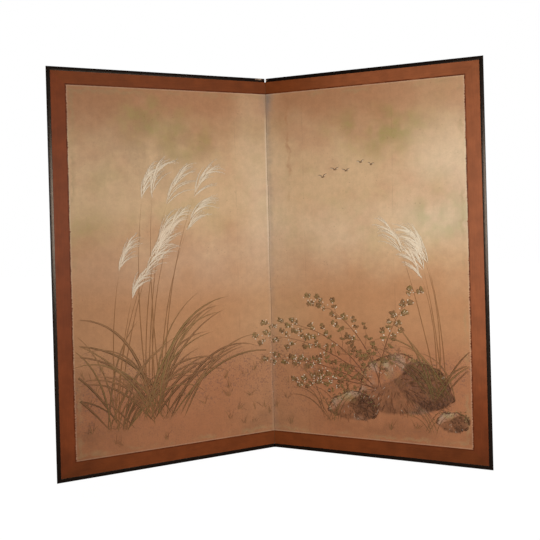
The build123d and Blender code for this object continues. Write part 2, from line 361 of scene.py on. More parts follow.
def silk_ground(colours):
    """Aged, painted silk as a group: a soft, mottled brown with age marks, and a height for the bump."""
    tree = bpy.data.node_groups.new("Aged Silk Ground", "ShaderNodeTree")
    tree.interface.new_socket("Color", in_out="OUTPUT", socket_type="NodeSocketColor")
    tree.interface.new_socket("Height", in_out="OUTPUT", socket_type="NodeSocketFloat")
    put = partial(add, tree)
    plane = put("UVMap", uv_map="Picture")
    u, v, _ = put("SeparateXYZ", plane).node.outputs

    def clouds(size, detail=3.0, rough=0.55, stretch=(1, 1, 1), shift=0.0):
        """Clouds of a size in metres, in a place of their own."""
        placed = put("Mapping", plane, Scale=stretch, Location=(shift, shift * 0.7, shift))
        return put("TexNoise", placed, 1 / size, detail, rough)

    # Slow clouds of red and olive, 150 to 250 mm across, and mottling of about 30 mm.
    frayed = put(TIMES_PLUS, clouds(0.22, 4, shift=8.8), 0.30, -0.15)
    tone = put(LAYER, put(STEP, clouds(0.25, 4), 0.44, 0.68, 0, 0.5), colours.ground, colours.ground_pink)
    tone = put(LAYER, put(STEP, clouds(0.17, 5, shift=5.1), 0.48, 0.70, 0, 0.45), tone, colours.ground_olive)
    smoked = put(PLUS, v, frayed)
    # The smoke thins beside the fold on the left and towards the far right, the haze along the fold.
    thin = put(STEP, put(ABSOLUTE, put(PLUS, u, 0.05)), 0.15, 0.04, 1.0, 0.5)
    thin = put(TIMES, thin, put(STEP, u, 0.45, 0.80, 1.0, 0.6))
    tone = put(LAYER, put(TIMES, thin, put(STEP, smoked, 1.28, 1.60, 0, 0.95)), tone, colours.smoke)
    # An ochre haze over the lower picture, thinner beside the fold: a brown wash, and partly painted shade.
    hazy = put(PLUS, smoked, put(STEP, u, 0.0, 0.45, 0, 0.13))
    reach = put(ABSOLUTE, u)
    thin = put(STEP, reach, 0.28, 0.03, 0.95, 0.68)
    tone = put(LAYER, put(TIMES, thin, put(STEP, hazy, 1.15, 0.80)), tone, colours.ochre)
    mottle = clouds(0.03, 5, 0.65, shift=2.2)
    # Upright fibres of the silk, about 4 mm apart here so that they show, grit, and three creases.
    fibres = clouds(0.004, 2, 0.5, (1, 0.02, 1))
    slubs = clouds(0.018, 2, 0.6, (1, 0.035, 1), shift=7.7)
    grit = clouds(0.0042, 3, 0.7, shift=6.6)
    shade = put(STEP, mottle, 0.3, 0.7, 0.945, 1.055)
    for streaks, middle, depth in ((fibres, 0.2, 0.010), (slubs, 0.2, 0.010), (grit, 0.16, -0.032)):
        shade = put(PLUS, shade, put(STEP, streaks, 0.5 - middle, 0.5 + middle, -depth, depth))
    # Painted shade: the silk is darker towards the left panel's outer edge.
    shade = put(TIMES, shade, put(STEP, u, -0.86, -0.30, 0.90, 1.0))
    wandering = put(PLUS, u, put(TIMES_PLUS, clouds(0.4, 2, shift=3.3), 0.02, -0.01))
    for crease in (-0.152, 0.170, 0.565):
        line = put(STEP, put(ABSOLUTE, put(MINUS, wandering, crease)), 0.0035, 0.0005, 0, 0.09)
        worn = put(STEP, clouds(0.09, 2, shift=crease), 0.35, 0.6)
        shade = put(MINUS, shade, put(TIMES, line, worn))
    # Painted washes.
    masks = put("Attribute", attribute_name="wash").node.outputs
    earth, green, white = put("SeparateColor", masks["Color"]).node.outputs
    tone = put(LAYER, put(TIMES, earth, put(STEP, mottle, 0.2, 0.8, 0.86, 1.0)), tone, colours.earth)
    tone = put(LAYER, put(TIMES, green, put(STEP, mottle, 0.3, 0.7, 0.35, 0.7)), tone, colours.malachite)
    tone = put(LAYER, white, tone, colours.gofun)
    grain = put(STEP, clouds(0.006, 3, 0.7, (1, 0.5, 1), shift=1.1), 0.3, 0.7, 0.7, 1.15)
    tone = put(LAYER, put(TIMES, masks["Alpha"], grain), tone, colours.umber)
    # Dusty speckle of the low ground: specks of 1 to 2 mm, thickest where the earth wash begins.
    specks = put("TexVoronoi", plane, 1 / 0.0075).node.outputs
    size = put("SeparateColor", specks["Color"])
    dot = put(BELOW, specks["Distance"], put(TIMES, size, 0.55))
    band = put(STEP, put(PLUS, v, frayed), 0.54, 0.42)
    band = put(TIMES, band, put(STEP, v, 0.10, 0.36, 0.35, 1.0))
    band = put(TIMES, band, put(STEP, clouds(0.11, 4, 0.6, shift=9.4), 0.34, 0.56, 0.25, 1.0))
    tone = put(LAYER, put(TIMES, put(TIMES, dot, band), 0.5), tone, colours.plum)
    tone = put(LAYER, put(TIMES, band, 0.06), tone, colours.plum)
    shade = put(TIMES_PLUS, put(STEP, grit, 0.36, 0.64, 0.07, -0.07), band, shade)
    # Foxing: a few brown spots of 2 to 5 mm, and clusters of finer ones.
    clusters = put(STEP, clouds(0.10, 3, 0.6, shift=14.9), 0.50, 0.66)
    for spacing, most, strength in ((0.07, 0.045, 0.3), (0.013, 0.36, put(TIMES, clusters, 0.36))):
        fox = put("TexVoronoi", plane, 1 / spacing).node.outputs
        pick = put("SeparateColor", fox["Color"], out="Green")
        spot = put(STEP, fox["Distance"], put(TIMES, pick, most), 0.0)
        tone = put(LAYER, put(TIMES, spot, strength), tone, colours.umber)
    # Handling along the fold: a grey stain, broad at the top and narrow below, mostly on the right.
    rough = put(TIMES_PLUS, clouds(0.03, 3, shift=4.4), 0.05, -0.025)
    frayed_reach = put(PLUS, reach, rough)
    stain = put(TIMES, put(STEP, frayed_reach, 0.045, 0.006), put(STEP, put(PLUS, v, rough), 1.49, 1.60))
    stain = put(TIMES, stain, put(STEP, u, -0.01, 0.01, 0.30, 0.66))
    soiled = put(TIMES, put(STEP, frayed_reach, 0.03, 0.0), put(STEP, v, 0.35, 1.55, 0.25, 0.6))
    soiled = put(TIMES, soiled, put(STEP, u, -0.004, 0.004, 0.15, 0.62))
    # A reddish tide mark wanders down beside the fold.
    drift = put(TIMES_PLUS, clouds(0.16, 3, shift=12.1), 0.14, 0.025)
    mark = put(STEP, put(ABSOLUTE, put(MINUS, u, drift)), 0.011, 0.002)
    mark = put(TIMES, mark, put(STEP, clouds(0.07, 3, shift=13.4), 0.36, 0.62))
    mark = put(TIMES, put(TIMES, mark, put(STEP, v, 1.05, 1.25)), 0.6)
    # The silk is rubbed paler right at the fold, above all on the left.
    pale = put(TIMES, put(STEP, reach, 0.012, 0.005), put(STEP, u, -0.002, 0.002, 1.0, 0.3))
    pale = put(TIMES, put(TIMES, pale, put(STEP, v, 1.58, 1.42)), put(STEP, v, 0.70, 1.05, 0.04, 0.22))
    # The rim of the sheet is paler, with a tide line inside it.
    edge = put(LEAST, put(MINUS, painting_high[0], reach), put(MINUS, painting_high[2], v))
    edge = put(LEAST, edge, put(MINUS, v, painting_low[2]))
    wavy = put(PLUS, edge, rough)
    tide = put(TIMES, put(STEP, wavy, 0.009, 0.014), put(STEP, wavy, 0.034, 0.018))
    tide = put(TIMES, tide, put(STEP, clouds(0.12, 3, shift=6.2), 0.42, 0.6))
    shade = put(TIMES_PLUS, tide, -0.09, shade)
    for share, paint in (
        (stain, colours.lilac),
        (soiled, colours.lilac),
        (mark, colours.smoke),
        (pale, colours.gofun),
        (put(TIMES, tide, 0.25), colours.ground_olive),
        (put(STEP, edge, 0.0065, 0.0025, 0, 0.09), colours.gofun),
    ):
        tone = put(LAYER, share, tone, paint)
    # Silk threads, 0.9 mm apart so that the weave shows close by.
    threads = [put("TexWave", plane, band_scale(0.0009), 0.4, bands_direction=way) for way in "XY"]
    height = put(TIMES_PLUS, put(PLUS, *threads), 0.12, put(TIMES, fibres, 0.5))
    put("NodeGroupOutput", put(SCALED, tone, shade), put(PLUS, height, put(TIMES, mottle, 0.6)))
    return tree


def painted_silk(ground, name, stroke):
    """Painted silk, sized, pasted and aged, so matt. Pigment covers the ground by a stroke's strength."""
    material, put = new_material(name)
    silk = put("Group", node_tree=ground).node.outputs
    surface = silk["Color"]
    if stroke:
        pigment = put("Attribute", out="Color", attribute_name="pigment")
        strength, ridge = (put("Attribute", out="Fac", attribute_name=kind) for kind in ("strength", "ridge"))
        dry = put("TexNoise", put("UVMap", uv_map="Picture"), 1 / 0.0035, 3.0)
        cover = put(TIMES, strength, put(STEP, ridge, 0.0, 0.4))
        cover = put(TIMES, cover, put("MapRange", dry, 0.3, 0.6, 0.7))
        surface = put(LAYER, cover, surface, pigment)
    finish(put, surface, silk["Height"], 0.25, 0.0004, Roughness=0.6, Specular_IOR_Level=0.2)
    return material


def border_silk(name, silk, colours, upright):
    """Plain russet silk pasted down: fine ribs with slubs along the strip, and painted light that makes it
    lighter on the right panel.
    """
    material, put = new_material(name)
    plane = put("UVMap", uv_map="Picture")
    u, v, _ = put("SeparateXYZ", plane).node.outputs
    along = put("Mapping", plane, Scale=(1, 0.03, 1) if upright else (0.03, 1, 1))
    slub = put("TexNoise", along, 1 / 0.003, 3.0, 0.6)
    patch = put("TexNoise", plane, 1 / 0.07, 4.0, 0.6)
    # Painted light: the silk is lighter from the fold outwards, fully by the outer side, and not near the
    # floor.
    painted_light = put(TIMES, put(STEP, u, 0.08, 0.46, 0, 1.0 if upright else 0.84), put(STEP, v, 0.20, 0.55))
    tone = put(LAYER, painted_light, silk, colours.silk_lit)
    shade = put(TIMES, put(STEP, slub, 0.3, 0.7, 0.93, 1.07), put(STEP, patch, 0.3, 0.7, 0.88, 1.12))
    # Painted shade: the silk is darker towards the floor at the two lower outer corners.
    for full, none, high in ((0.92, 0.20, 0.30), (-0.94, -0.62, 0.17)):
        corner_shade = put(TIMES, put(STEP, u, none, full), put(STEP, v, high, 0.03, 0, 0.26))
        shade = put(MINUS, shade, corner_shade)
    # Dust and shadow lie along the painting's edge, in stretches of a few centimetres.
    inner = put("Attribute", out="Fac", attribute_name="inner")
    stretches = put("TexNoise", plane, 1 / 0.035, 2.0)
    line = put(TIMES, put(STEP, inner, 0.0072, 0.0040), put(STEP, stretches, 0.36, 0.6, 0.25, 1.0))
    tone = put(LAYER, line, put(SCALED, tone, shade), colours.silk_shadow)
    rib = put("TexWave", plane, band_scale(0.001), 0.6, bands_direction="X" if upright else "Y")
    sheen = {"Sheen_Weight": 0.04, "Sheen_Roughness": 0.35, "Sheen_Tint": colours.silk_lit}
    height = put(TIMES_PLUS, rib, 0.3, slub)
    finish(put, tone, height, 0.3, 0.0004, Roughness=0.5, Specular_IOR_Level=0.12, **sheen)
    return material


def black_lacquer(colours):
    """Brushed and polished lacquer: near black, glossy, with slow waves, rubbed arrises and small chips."""
    material, put = new_material("Black Urushi Lacquer")
    spot = put("TexCoord", out="Object")
    x, y, z = put("SeparateXYZ", spot).node.outputs
    back = (fold_line.y * math.sin(panel_turn), -fold_line.y * math.cos(panel_turn), 0)
    own = put("CombineXYZ", put(ABSOLUTE, x), y, z)
    own = put("Mapping", own, Location=back, Rotation=(0, 0, panel_turn))
    outward, _, upward = put("SeparateXYZ", own).node.outputs
    waves = put("TexNoise", spot, 1 / 0.035, 2.0)
    rub = put("TexNoise", spot, 1 / 0.012, 6.0, 0.7)
    frame_high = panel_box("right_frame_stile")[1]
    # The outer arris, 2.2 mm wide, is rubbed through here and there.
    outer = put(LEAST, put(MINUS, frame_high[0], outward), put(MINUS, frame_high[2], upward))
    arris = put("MapRange", put(LEAST, outer, upward), 0.0022, 0.0, 0.0, 1.0)
    worn = put(TIMES, arris, put("MapRange", rub, 0.52, 0.68))
    tone = put(LAYER, worn, colours.lacquer, colours.lacquer_rub)
    # Chips at the rails' ends beside the fold: a long one on the left, a nick on the right.
    for side_test, middle, half, down, tall in (
        (BELOW, 0.030, 0.023, 0.004, 0.0058),
        ("Math.GREATER_THAN", 0.0075, 0.0040, 0.008, 0.004),
    ):
        dx = put("Math.DIVIDE", put(MINUS, outward, middle), half)
        dz = put("Math.DIVIDE", put(MINUS, upward, frame_high[2] - down), tall)
        reach = put("VectorMath.LENGTH", put("CombineXYZ", dx, dz), out="Value")
        reach = put(PLUS, reach, put(TIMES_PLUS, rub, 2.4, -1.2))
        chip = put(TIMES, put(BELOW, reach, 0.9), put(side_test, x, 0.0))
        bare = put(LAYER, put(STEP, reach, 0.75, 0.15), colours.lacquer_rub, colours.priming)
        tone = put(LAYER, chip, tone, bare)
        worn = put(MOST, worn, chip)
    rough = put("Mix.FLOAT", worn, put("MapRange", rub, 0.3, 0.7, 0.20, 0.30), 0.7)
    peel = put(TIMES_PLUS, worn, -0.5, put(TIMES_PLUS, rub, 0.12, waves))
    shine = {"Specular_IOR_Level": 0.30, "Specular_Tint": colours.glint}
    finish(put, tone, peel, 0.25, 0.0008, Roughness=rough, **shine)
    return material


def sawn_wood(name, wood, along):
    """Sawn cedar or split bamboo: matt, with grain a few millimetres wide that runs along the piece."""
    material, put = new_material(name)
    turned = put("Mapping", put("TexCoord", out="Object"), Scale=along)
    grain = put("TexNoise", turned, 1 / 0.004, 4.0, Distortion=0.6)
    tone = put(SCALED, wood, put("MapRange", grain, 0.3, 0.7, 0.72, 1.12))
    finish(put, tone, grain, 0.4, 0.0003, Roughness=0.7)
    return material


def mulberry_paper(name, paper, colours=None):
    """Mulberry paper, matt, with long fibres. Given colours, it takes the tones of the silk it joins."""
    material, put = new_material(name)
    spot = put("TexCoord", out="Object")
    if colours:
        level = put("SeparateXYZ", spot, out="Z")
        low, high = painting_low[2], painting_high[2]
        for tone, none, full, most in (
            (colours.earth, 0.98, 0.50, 0.6),
            (colours.umber, 1.25, 1.58, 0.5),
            (colours.silk_level, low + 0.001, low - 0.001, 1.0),
            (colours.silk_level, high - 0.001, high + 0.001, 1.0),
        ):
            paper = put(LAYER, put(STEP, level, none, full, 0, most), paper, tone)
    fibres = put("TexNoise", spot, 1 / 0.006, 6.0, Distortion=2.5)
    clouds = put("TexNoise", spot, 1 / 0.12, 3.0)
    shade = put("MapRange", put(PLUS, fibres, clouds), 0.7, 1.3, 0.82, 1.12)
    finish(put, put(SCALED, paper, shade), fibres, 0.3, 0.0002, Roughness=0.85, Specular_IOR_Level=0.15)
    return material


def backing_paper(colours):
    """Backing paper in sheets of 320 by 460 mm with lapped joins, printed in mica with small lozenges."""
    material, put = new_material("Mica Printed Backing Paper")
    plane = put("UVMap", uv_map="Picture")
    u, v, _ = put("SeparateXYZ", plane).node.outputs

    def cell(value, step, shift=0.0):
        """Distance to the nearest start of a repeat, from 0 to half a step."""
        return put("Math.PINGPONG", put(PLUS, value, (shift + 40) * step), step / 2)

    marks = 0.0
    for shift in (0.0, 0.5):
        flat = put("Math.DIVIDE", cell(u, 0.048, shift), 0.016)
        reach = put(PLUS, flat, put("Math.DIVIDE", cell(v, 0.030, shift), 0.010))
        ring = put(BELOW, put(ABSOLUTE, put(MINUS, reach, 0.80)), 0.13)
        marks = put(MOST, marks, put(MOST, ring, put(BELOW, reach, 0.42)))
    worn = put("MapRange", put("TexNoise", plane, 1 / 0.05, 5.0), 0.35, 0.6, 0.15, 0.75)
    shade = put("MapRange", put("TexNoise", plane, 1 / 0.2, 5.0), 0.3, 0.7, 0.85, 1.12)
    join = put("MapRange", put(LEAST, cell(u, 0.32), cell(v, 0.46)), 0.0, 0.003, 1.0, 0.0)
    printed = put(TIMES, marks, worn)
    tone = put(SCALED, colours.backing, put(TIMES_PLUS, join, -0.16, shade))
    tone = put(LAYER, printed, tone, colours.mica)
    fibres = put("TexNoise", plane, 1 / 0.005, 5.0, Distortion=2.0)
    rough = put("MapRange", printed, 0.0, 1.0, 0.85, 0.5)
    finish(put, tone, put(TIMES_PLUS, join, 0.8, fibres), 0.3, 0.0003, Roughness=rough)
    return material


def studio_floor():
    """Pale matt floor: it reads as white from a little way off, keeps the screen's shadow, and has a painted
    shadow behind the fold.
    """
    material, put = new_material("Pale Studio Floor")
    spot = put("TexCoord", out="Object")
    x, y, _ = put("SeparateXYZ", spot).node.outputs
    glow = put("MapRange", put("VectorMath.LENGTH", spot, out="Value"), 0.8, 3.0, 0.88, 1.0)
    glow = put(TIMES, glow, put("LightPath", out="Is Camera Ray"))
    # Painted contact shadow: the floor is made dark, and without glow, in the gap between the rails behind
    # the fold.
    beside = put(STEP, put(ABSOLUTE, x), 0.007, 0.010)
    before = put(STEP, y, fold_line.y - 0.002, fold_line.y + 0.002, 1, 0)
    beyond = put(STEP, y, fold_line.y + 0.043, fold_line.y + 0.049)
    lit = put(MOST, put(MOST, beside, before), beyond)
    tone = put(SCALED, linear("#a8a5a0"), lit)
    plain = put("BsdfPrincipled", tone, Roughness=0.8, Specular_IOR_Level=put(TIMES, lit, 0.5))
    white = put("Emission", (1, 1, 1, 1), 1.12)
    put("OutputMaterial", put("MixShader", put(TIMES, glow, lit), plain, white))
    return material


def studio_world():
    """White to the camera, and a dim room to everything else."""
    world = bpy.data.worlds.new("Studio")
    world.use_nodes = True
    world.node_tree.nodes.clear()
    put = partial(add, world.node_tree)
    rays = put("LightPath").node.outputs
    backdrop = put("Background", (1, 1, 1, 1), 1.0)
    # The ceiling is a little brighter than the rest of the room.
    level = put("SeparateXYZ", put("TexCoord", out="Generated"), out="Z")
    room = put("Background", linear("#f4f1ec"), put("MapRange", level, -0.2, 1.0, 0.05, 0.16))
    seen = put(MOST, rays["Is Camera Ray"], rays["Is Transmission Ray"])
    put("OutputWorld", put("MixShader", seen, room, backdrop))
    return world


def grid_sheet(side, x, z, front, back):
    """A closed sheet on a grid. x and z are arrays of the grid's points, and front and back its depths."""
    columns, rows = x.shape
    count = columns * rows
    number = np.arange(count).reshape(columns, rows)
    faces = []
    for first, flip in ((0, 1), (count, -1)):
        a, b = number[:-1, :-1] + first, number[1:, :-1] + first
        c, d = number[1:, 1:] + first, number[:-1, 1:] + first
        quads = np.stack([a, b, c, d], axis=-1).reshape(-1, 4)
        faces.append(quads if flip * side > 0 else quads[:, ::-1])
    loop = np.concatenate([number[:, 0], number[-1, 1:], number[-2::-1, -1], number[0, -2:0:-1]])
    ahead = np.roll(loop, -1)
    rim = np.stack([ahead, loop, loop + count, ahead + count], axis=-1)
    faces.append(rim if side > 0 else rim[:, ::-1])
    depth = np.concatenate([np.broadcast_to(layer, x.shape).ravel() for layer in (front, back)])
    return np.stack([np.tile(x.ravel(), 2), depth, np.tile(z.ravel(), 2)], axis=-1), np.concatenate(faces)


def build_object(name, side, points, faces, material):
    """Makes a mesh object from points of a panel's own frame, with the picture plane as its UV map."""
    mesh = bpy.data.meshes.new(name)
    mesh.vertices.add(len(points))
    mesh.vertices.foreach_set("co", from_panel(points[:, 0], points[:, 1], points[:, 2], side).ravel())
    sizes = faces.shape[1]
    mesh.loops.add(faces.size)
    mesh.polygons.add(len(faces))
    mesh.polygons.foreach_set("loop_start", np.arange(len(faces)) * sizes)
    mesh.loops.foreach_set("vertex_index", faces.ravel().astype(np.int32))
    mesh.update(calc_edges=True)
    # Sharp edges keep the narrow rim from shading the face beside it.
    mesh.shade_smooth()
    mesh.set_sharp_from_angle(angle=SHARP_ANGLE)
    add_plane(mesh, np.stack([points[:, 0] * side, points[:, 2]], axis=-1))
    mesh.materials.append(material)
    return place(name, mesh)


def place(name, data):
    """Makes an object and links it to the scene."""
    made = bpy.data.objects.new(name, data)
    bpy.context.scene.collection.objects.link(made)
    return made


def add_plane(mesh, plane):
    """Stores the picture plane, in metres, as the UV map."""
    vertex = np.zeros(len(mesh.loops), np.int32)
    mesh.loops.foreach_get("vertex_index", vertex)
    layer = mesh.uv_layers.new(name="Picture")
    layer.uv.foreach_set("vector", plane[vertex].astype(np.float32).ravel())


def store(mesh, name, values):
    """Stores a number or a colour for each point of a mesh."""
    kind, field = ("FLOAT_COLOR", "color") if np.ndim(values) == 2 else ("FLOAT", "value")
    layer = mesh.attributes.new(name, kind, "POINT")
    layer.data.foreach_set(field, values.astype(np.float32).ravel())


def finish_piece(piece, side_name, nodes):
    """Lets a piece move with its panel, in place of the CAD nodes that it stands for."""
    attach(piece, side_name + "_panel")
    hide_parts(*nodes)


def path(start, heading, size, bend, steps, ease=1.4):
    """A line that starts at a heading in degrees and turns by bend over its length."""
    t = np.linspace(0, 1, steps + 1)
    angle = np.radians(heading + bend * t**ease)
    hops = np.stack([np.cos(angle), np.sin(angle)], axis=-1)[:-1] * size / steps
    return np.concatenate([[np.zeros(2)], np.cumsum(hops, axis=0)]) + np.asarray(start)


def headings(points):
    """Heading of a line, in degrees, at each of its points."""
    ahead = np.gradient(points, axis=0)
    return np.degrees(np.arctan2(ahead[:, 1], ahead[:, 0]))


FINEST = 0.00012  # half width of the thinnest line that a brush leaves


class Brush:
    """Collects strokes: each is its points in the picture plane, half widths, strengths and pigment."""

    def __init__(self, colours, seed):
        self.rng = np.random.default_rng(seed)
        self.strokes = []
        self.umber, self.white = tuple(colours.umber)[:3], tuple(colours.gofun)[:3]
        self.olive, self.ochre, self.moss = (linear(code)[:3] for code in ("#7a6f3e", "#a8793f", "#a3a56c"))

    def stroke(self, points, width, strength, pigment, belly=0.5, tail=0.15):
        """Adds a stroke, widest at belly. strength is at its start, and tail of it at its end."""
        t = np.linspace(0, 1, len(points))
        quarter = np.where(t < belly, 1 - t / belly, (t - belly) / (1 - belly)) * np.pi / 2
        half = np.maximum(width * 0.66 * np.maximum(np.cos(quarter), 0) ** 0.7, FINEST)
        self.strokes.append((points, half, strength * (1 - (1 - tail) * t**1.5), pigment))


def mixed(a, b, share):
    """A pigment between two others, with a share of the second."""
    return tuple(x * (1 - share) + y * share for x, y in zip(a, b))


def plume(brush, tip, heading, lean):
    """A pampas plume: silky strands that leave the stem's tip and hang to one side."""
    rng = brush.rng
    size = rng.uniform(0.15, 0.21)
    stem = path(tip, heading, size, -lean * rng.uniform(30, 55), 10)
    turn = headings(stem)
    for k in range(18):
        t = k / 18
        at = min(int(t * 8), 9)
        start = stem[at] + rng.normal(0, 0.002, 2)
        spread = rng.uniform(-32, 14) * lean
        reach = size * rng.uniform(0.60, 0.85) * (1 - 0.35 * t)
        strand = path(start, turn[at] + spread, reach, -lean * rng.uniform(25, 75), 7)
        brush.stroke(strand, rng.uniform(0.0030, 0.0048), rng.uniform(0.75, 1.0), brush.white, 0.35, 0.4)
        way = headings(strand)
        for hair in range(1, 7):
            aim = way[hair] + rng.choice([-1, 1]) * rng.uniform(15, 35)
            tuft = path(strand[hair], aim, rng.uniform(0.008, 0.017), rng.uniform(-20, 20), 2)
            brush.stroke(tuft, 0.0022, 0.7, brush.white, 0.4, 0.35)
    brush.stroke(stem, 0.0026, 0.8, brush.ochre, 0.1, 0.4)


def pampas(brush, root, leaves, stems, lean, scale):
    """A clump of pampas grass that the wind bends by lean, 1 towards the right and -1 towards the left."""
    rng = brush.rng
    for _ in range(leaves):
        start = np.array(root) + rng.normal(0, 1, 2) * (0.045, 0.010) * scale
        side = rng.choice([-1, 1], p=[0.4, 0.6]) * lean
        heading = 90 - side * rng.uniform(4, 38)
        size = rng.uniform(0.28, 0.66) * scale
        blade = path(start, heading, size, -side * rng.uniform(35, 120), 16, rng.uniform(1.4, 2.4))
        tone = mixed(brush.umber, brush.olive, rng.uniform(0.15, 0.85))
        width = rng.uniform(0.005, 0.0095) * scale
        brush.stroke(blade, width, rng.uniform(0.55, 0.9), tone, 0.35, 0.45)
        brush.stroke(blade[1:-2], width * 0.22, 0.45, brush.white, 0.4, 0.3)
    for k in range(stems):
        start = np.array(root) + rng.normal(0, 1, 2) * (0.03, 0.008) * scale
        size = rng.uniform(0.62, 0.92) * scale
        heading = 90 - lean * rng.uniform(-6, 13)
        stalk = path(start, heading, size, -lean * rng.uniform(6, 24), 14, 1.6)
        brush.stroke(stalk, 0.0032, 0.75, mixed(brush.umber, brush.ochre, 0.45), 0.25, 0.9)
        plume(brush, stalk[-1], headings(stalk)[-1], lean)


# Heading in degrees, length and bend of each spray of bush clover.
CLOVER_SPRAYS = (
    (152, 0.50, 38),
    (137, 0.60, 52),
    (120, 0.58, 72),
    (104, 0.52, 58),
    (165, 0.36, 30),
    (84, 0.46, -35),
)


def clover(brush, start, heading, size, bend):
    """An arching spray of bush clover: leaves in threes, and white flowers towards the tip."""
    rng = brush.rng
    stem = path(start, heading, size, bend, 16, 1.2)
    way = headings(stem)
    brush.stroke(stem, 0.0034, 0.8, brush.umber, 0.15, 0.55)
    for k in range(2, 17):
        side = 1 if k % 2 else -1
        twig_size = rng.uniform(0.05, 0.13) * (1.15 - k / 18)
        twig = path(stem[k], way[k] + side * rng.uniform(30, 55), twig_size, -side * rng.uniform(10, 50), 5)
        brush.stroke(twig, 0.0018, 0.7, brush.umber, 0.2, 0.6)
        twig_way = headings(twig)
        for at in (2, 4, 5):
            tone = mixed(brush.umber, brush.olive, rng.uniform(0.2, 0.9))
            for spread in (-48, 0, 48):
                leaf_size = rng.uniform(0.012, 0.020)
                aim = twig_way[at] + spread + rng.normal(0, 8)
                leaf = path(twig[at], aim, leaf_size, rng.uniform(-15, 15), 3)
                brush.stroke(leaf, leaf_size * 0.50, rng.uniform(0.6, 0.95), tone, 0.55, 0.8)
        if k > 6:
            for _ in range(5):
                spot = twig[rng.integers(1, 6)] + rng.normal(0, 0.006, 2)
                petal = path(spot, rng.uniform(0, 360), rng.uniform(0.006, 0.009), rng.uniform(-40, 40), 2)
                brush.stroke(petal, 0.0055, rng.uniform(0.8, 1.0), brush.white, 0.5, 0.8)


def stone_rim(stone, bearings):
    """Points of a stone's outline at the given bearings."""
    (cu, cv), (ru, rv), _ = stone
    rim = []
    for bearing in bearings:
        away = np.linspace(0.3, 1.5, 240)
        u, v = cu + away * ru * np.cos(bearing), cv + away * rv * np.sin(bearing)
        outside = np.flatnonzero(stone_reach(u, v, stone) > 0.99)[0]
        rim.append((u[outside], v[outside]))
    return np.array(rim)


def stone_lines(brush, stone):
    """A stone's broken outline, the dry strokes that model it and the moss on top."""
    rng = brush.rng
    (cu, cv), (ru, rv), _ = stone
    scale = ru / 0.2
    rim = stone_rim(stone, np.radians(np.linspace(-32, 212, int(126 * scale) + 30)))
    first = 0
    while first < len(rim) - 8:
        count = int(rng.integers(9, 17))
        part = rim[first : first + count]
        width = rng.uniform(0.0045, 0.0085)
        brush.stroke(part + rng.normal(0, 0.0006, part.shape), width, 0.95, brush.umber, 0.3, 0.5)
        first += count - int(rng.integers(0, 3))
    for _ in range(int(330 * scale)):
        x, y = rng.uniform(-1, 1, 2)
        u, v = cu + ru * x, cv + rv * (y if y > 0 else y / 1.6)
        if stone_reach(u, v, stone) > 0.93:
            continue
        right, front = stone_faces(u, v, stone)
        away = math.degrees(math.atan2(y - STONE_APEX[1], x - STONE_APEX[0]))
        if rng.random() < 0.15 + 0.75 * right + 0.35 * front:
            size = rng.uniform(0.015, 0.05) * scale
            cut = path((u, v), away + rng.normal(0, 12), size, rng.uniform(-20, 20), 4)
            strength = 0.25 + 0.45 * right + 0.2 * front
            brush.stroke(cut, rng.uniform(0.0025, 0.0055), strength, brush.umber, 0.3, 0.2)
        elif rng.random() < 0.25:
            cut = path((u, v), away + rng.normal(0, 15), 0.02 * scale, rng.uniform(-20, 20), 3)
            brush.stroke(cut, 0.003, 0.45, brush.white, 0.4, 0.3)
    crown = rim[len(rim) // 4 : -len(rim) // 6]
    for _ in range(int(170 * scale)):
        at = crown[rng.integers(0, len(crown))] + (0, -0.004) + rng.normal(0, 0.009, 2)
        dab = path(at, rng.uniform(0, 360), rng.uniform(0.004, 0.009), 30, 2)
        tone = mixed(brush.umber, brush.olive, rng.uniform(0, 0.9))
        brush.stroke(dab, rng.uniform(0.004, 0.007), rng.uniform(0.6, 0.95), tone, 0.5, 0.9)
    for _ in range(int(45 * scale)):
        at = crown[rng.integers(0, len(crown))] + (0, -0.006) + rng.normal(0, 0.008, 2)
        brush.stroke(path(at, 0, 0.004, 0, 2), 0.0045, 0.8, brush.moss, 0.5, 0.9)


def tufts(brush, count):
    """Low grass here and there over the ground."""
    rng = brush.rng
    for _ in range(count):
        u, v = rng.uniform(-0.84, 0.84), rng.uniform(0.10, 0.47)
        if min(stone_reach(u, v, stone) for stone in STONES) < 1.1:
            continue
        for _ in range(int(rng.integers(4, 9))):
            heading = 90 + rng.normal(0, 24)
            foot = (u + rng.normal(0, 0.005), v)
            blade = path(foot, heading, rng.uniform(0.018, 0.06), (heading - 90) * 1.2, 4)
            strength = rng.uniform(0.3, 0.65)
            brush.stroke(blade, 0.0022, strength, mixed(brush.umber, brush.olive, rng.random()), 0.3, 0.4)


def geese(brush):
    """A few wild geese far off, in a loose line."""
    rng = brush.rng
    for k, (u, v) in enumerate([(0.26, 1.235), (0.315, 1.265), (0.365, 1.258), (0.43, 1.292), (0.475, 1.28)]):
        size = 0.026 - 0.002 * k
        for side in (-1, 1):
            wing = path((u, v), 90 - side * rng.uniform(35, 60), size, -side * rng.uniform(25, 60), 4)
            brush.stroke(wing, 0.0042, 0.8, brush.umber, 0.3, 0.5)
            brush.stroke(wing[1:] - (0, 0.0022), 0.0022, 0.7, brush.white, 0.3, 0.5)
        body = path((u - size * 0.3, v - 0.002), 8, size * 0.8, 0, 3)
        brush.stroke(body, 0.0048, 0.85, brush.umber, 0.45, 0.6)


def autumn_field(colours, seed):
    """Every stroke of the autumn field."""
    brush = Brush(colours, seed)
    tufts(brush, 70)
    pampas(brush, (-0.55, 0.205), 34, 8, 1, 1.05)
    pampas(brush, (-0.70, 0.175), 18, 4, 1, 0.80)
    pampas(brush, (0.74, 0.27), 16, 5, -1, 0.72)
    for heading, size, bend in CLOVER_SPRAYS:
        clover(brush, (0.50 + brush.rng.normal(0, 0.015), 0.30), heading, size, bend)
    for stone in STONES:
        stone_lines(brush, stone)
    pampas(brush, (0.27, 0.145), 10, 0, -1, 0.45)
    pampas(brush, (0.70, 0.125), 8, 0, 1, 0.32)
    geese(brush)
    return brush.strokes


